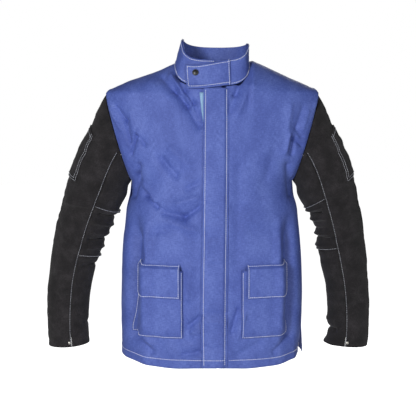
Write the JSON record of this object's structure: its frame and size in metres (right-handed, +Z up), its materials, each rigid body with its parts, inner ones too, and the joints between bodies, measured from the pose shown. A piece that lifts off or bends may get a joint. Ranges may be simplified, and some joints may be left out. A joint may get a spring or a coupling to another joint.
{
  "type": "welding jacket",
  "caption": "Blue cotton welder's jacket with black leather sleeves, stand collar with snap tab, storm placket, flapped patch pockets and sleeve pen pockets, shown as worn.",
  "frame": {"origin": "centre of the jacket's box, in the level plane of the hem", "axes": "+Z up, -Y the way the wearer faces, +X the wearer's left"},
  "size_m": [0.8076, 0.3156, 0.7788],
  "materials": {
    "blue_cotton": "royal-blue flame-retardant cotton twill, contrast stitching",
    "split_leather": "black split cowhide with a suede nap",
    "hook_and_loop_tape": "pale blue hook-and-loop tape",
    "snap_black": "black painted snap cap",
    "snap_metal": "nickel-plated snap and rivet metal"
  },
  "bodies": {
    "shell": {"right_front_panel": "blue_cotton", "left_front_panel": "blue_cotton", "back_panel": "blue_cotton", "right_front_facing": "blue_cotton", "left_front_facing": "blue_cotton", "closure_hook_strip": "hook_and_loop_tape", "placket_sewn_edge": "blue_cotton", "right_pocket": "blue_cotton", "left_pocket": "blue_cotton", "collar_outer": "blue_cotton", "collar_lining": "blue_cotton", "snap_stud": "snap_metal", "hanger_loop": "blue_cotton", "right_top_sleeve_upper": "split_leather", "right_under_sleeve_upper": "split_leather", "right_pen_pocket": "split_leather", "left_top_sleeve_upper": "split_leather", "left_under_sleeve_upper": "split_leather", "left_pen_pocket": "split_leather"},
    "placket": {"front_placket": "blue_cotton", "closure_loop_strip": "hook_and_loop_tape"},
    "collar_tab": {"collar_tab": "blue_cotton", "snap_cap": "snap_black", "snap_socket": "snap_metal"},
    "right_flap": {"right_pocket_flap": "blue_cotton"},
    "left_flap": {"left_pocket_flap": "blue_cotton"},
    "right_forearm": {"right_top_sleeve_lower": "split_leather", "right_under_sleeve_elbow": "split_leather", "right_under_sleeve_lower": "split_leather", "right_cuff_rivet": "snap_metal"},
    "left_forearm": {"left_top_sleeve_lower": "split_leather", "left_under_sleeve_elbow": "split_leather", "left_under_sleeve_lower": "split_leather", "left_cuff_rivet": "snap_metal"}
  },
  "joints": [
    {"name": "placket_hinge", "type": "hinge", "parent": "shell", "child": "placket", "pos_m": [0.028, -0.14495, 0.33138], "axis": [0, 0.0674, 0.9977], "range_deg": [0, 75]},
    {"name": "collar_tab_hinge", "type": "hinge", "parent": "shell", "child": "collar_tab", "pos_m": [0.04482, -0.10139, 0.695], "axis": [0, 0, 1], "range_deg": [0, 100]},
    {"name": "right_flap_hinge", "type": "hinge", "parent": "shell", "child": "right_flap", "pos_m": [-0.13359, -0.12626, 0.2404], "axis": [-0.9393, 0.343, 0], "range_deg": [0, 100]},
    {"name": "left_flap_hinge", "type": "hinge", "parent": "shell", "child": "left_flap", "pos_m": [0.13359, -0.12626, 0.2404], "axis": [-0.9393, -0.343, 0], "range_deg": [0, 100]},
    {"name": "right_elbow", "type": "hinge", "parent": "shell", "child": "right_forearm", "pos_m": [-0.3235, -0.001, 0.3], "axis": [-0.9696, 0, 0.2449], "range_deg": [0, 60]},
    {"name": "left_elbow", "type": "hinge", "parent": "shell", "child": "left_forearm", "pos_m": [0.3235, -0.001, 0.3], "axis": [-0.9696, 0, -0.2449], "range_deg": [0, 60]}
  ]
}
